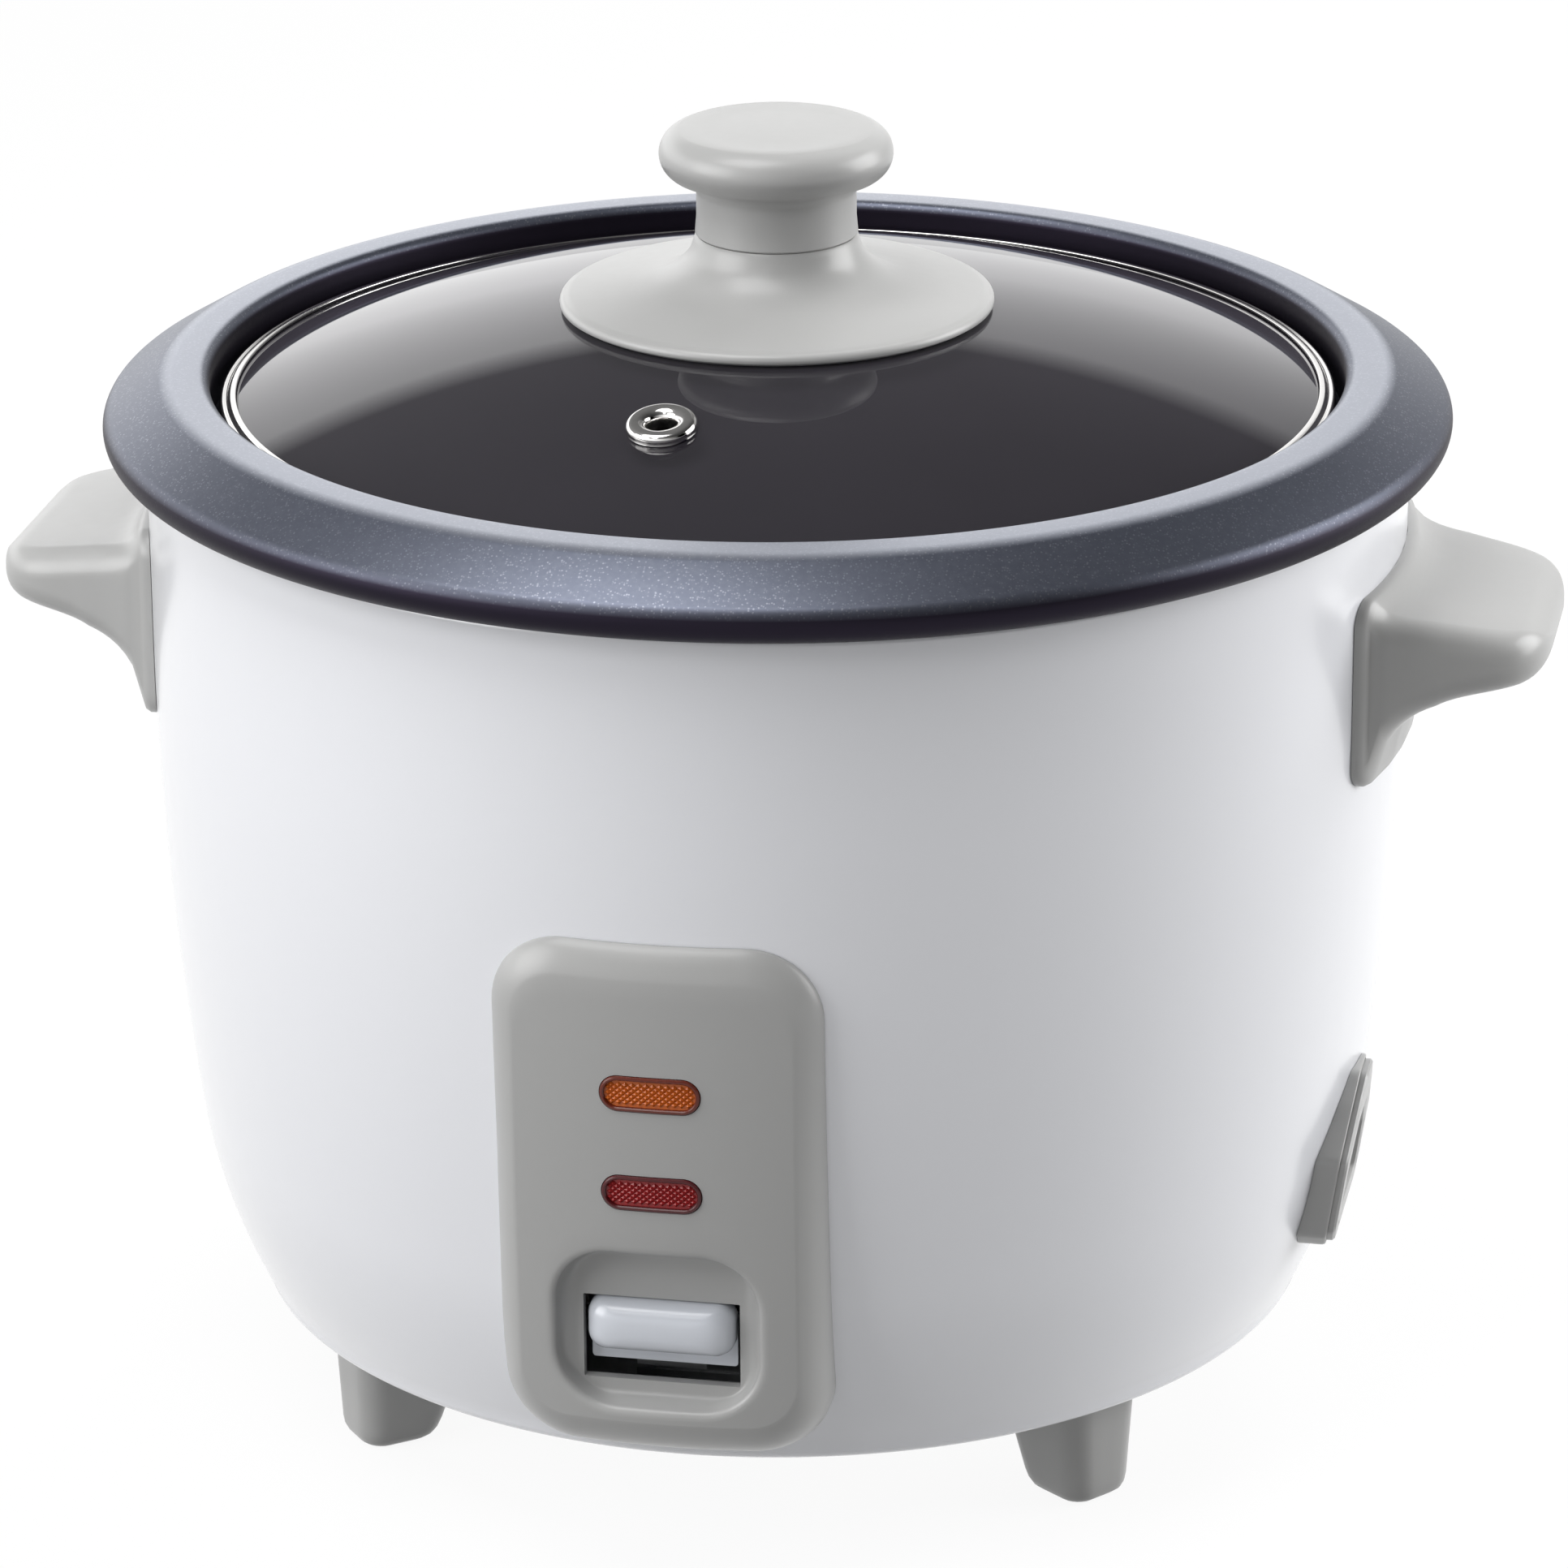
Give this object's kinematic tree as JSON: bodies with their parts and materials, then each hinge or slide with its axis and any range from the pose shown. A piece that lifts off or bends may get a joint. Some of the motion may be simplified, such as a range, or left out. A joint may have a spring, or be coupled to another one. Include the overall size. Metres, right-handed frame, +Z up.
{
  "type": "rice cooker",
  "caption": "White household rice cooker with a coated lift-out pot, a domed glass lid, side handles, a cook lever with indicator lamps and a power inlet.",
  "frame": {"origin": "On the floor under the pot's axis, in the middle of the cooker's bounding box seen from above", "axes": "+Z is up. The control panel faces -Y. The right handle and the power inlet are on +X; the handles span +X and -X, the longest extent."},
  "size_m": [0.275, 0.2352, 0.2305],
  "materials": {
    "tinted_glass": "clear, slightly tinted",
    "bright_steel": "polished",
    "plain_steel": "zinc plated",
    "grey_plastic": "semi-gloss moulded",
    "white_plastic": "gloss moulded",
    "black_plastic": "matte moulded",
    "red_plastic": "gloss moulded",
    "pot_coating": "non-stick, fine sparkle",
    "white_paint": "gloss enamel",
    "orange_lens": "clear tinted",
    "red_lens": "clear tinted",
    "lamp_glass": "frosted",
    "circuit_board": "resin board",
    "shield_aluminium": "rolled",
    "cast_aluminium": "cast, turned top",
    "heater_band": "glass cloth tape",
    "element_sheath": "heat darkened",
    "dark_metal": "sintered",
    "ceramic": "bare ceramic",
    "lead_sleeve": "braided sleeve"
  },
  "bodies": {
    "cooker": {"outer_housing": "white_paint", "base_plate": "plain_steel", "foot_front_left": "grey_plastic", "foot_front_right": "grey_plastic", "foot_rear_left": "grey_plastic", "foot_rear_right": "grey_plastic", "foot_screws": "plain_steel", "base_screws": "plain_steel", "handle_left": "grey_plastic", "handle_right": "grey_plastic", "handle_screws": "plain_steel", "control_panel": "grey_plastic", "lens_keep_warm": "orange_lens", "lens_cook": "red_lens", "lamp_keep_warm": "lamp_glass", "lamp_cook": "lamp_glass", "lamp_holder": "circuit_board", "panel_screws": "plain_steel", "heat_shield": "shield_aluminium", "warm_heater": "heater_band", "heating_plate": "cast_aluminium", "heating_element": "element_sheath", "plate_posts": "plain_steel", "thermostat_sleeve": "plain_steel", "sensor_spring": "bright_steel", "thermal_fuse": "ceramic", "lever_pin": "bright_steel", "lever_bracket": "plain_steel", "microswitch": "black_plastic", "power_inlet": "grey_plastic", "inlet_pins": "bright_steel", "inlet_clip": "plain_steel", "internal_leads": "lead_sleeve"},
    "pot": {"inner_pot": "pot_coating"},
    "lid": {"lid_glass": "tinted_glass", "lid_rim_band": "bright_steel", "steam_vent_eyelet": "bright_steel", "lid_knob": "grey_plastic", "lid_knob_skirt": "grey_plastic", "lid_knob_washer": "grey_plastic", "lid_knob_screw": "plain_steel"},
    "cook_lever": {"lever_paddle": "white_plastic", "lever_arm": "plain_steel"},
    "magnet": {"drop_magnet": "dark_metal", "magnet_rod": "bright_steel"},
    "sensor": {"sensor_cap": "cast_aluminium", "sensor_core": "dark_metal"},
    "button": {"switch_button": "red_plastic"}
  },
  "joints": [
    {"name": "pot_lift", "type": "slide", "parent": "cooker", "child": "pot", "axis": [0, 0, 1], "range_m": [0, 0.16]},
    {"name": "lid_lift", "type": "slide", "parent": "pot", "child": "lid", "axis": [0, 0, 1], "range_m": [0, 0.12]},
    {"name": "cook_lever", "type": "hinge", "parent": "cooker", "child": "cook_lever", "pos_m": [0, -0.05, 0.04], "axis": [1, 0, 0], "range_deg": [0, 5], "stiffness_Nm_per_rad": 0.5, "springref_deg": -5.73},
    {"name": "magnet_slide", "type": "slide", "parent": "cooker", "child": "magnet", "axis": [0, 0, 1], "range_m": [0, 0.0045]},
    {"name": "sensor_slide", "type": "slide", "parent": "cooker", "child": "sensor", "axis": [0, 0, 1], "range_m": [-0.0012, 0], "stiffness_N_per_m": 300, "springref_m": 0.001, "deforming": ["sensor_spring"]},
    {"name": "button_slide", "type": "slide", "parent": "cooker", "child": "button", "axis": [0, 0, 1], "range_m": [-0.0012, 0]}
  ],
  "couplings": [
    {"joint": "magnet_slide", "follows": "cook_lever", "m_per_rad": 0.05},
    {"joint": "button_slide", "follows": "cook_lever", "m_per_rad": -0.01275}
  ]
}
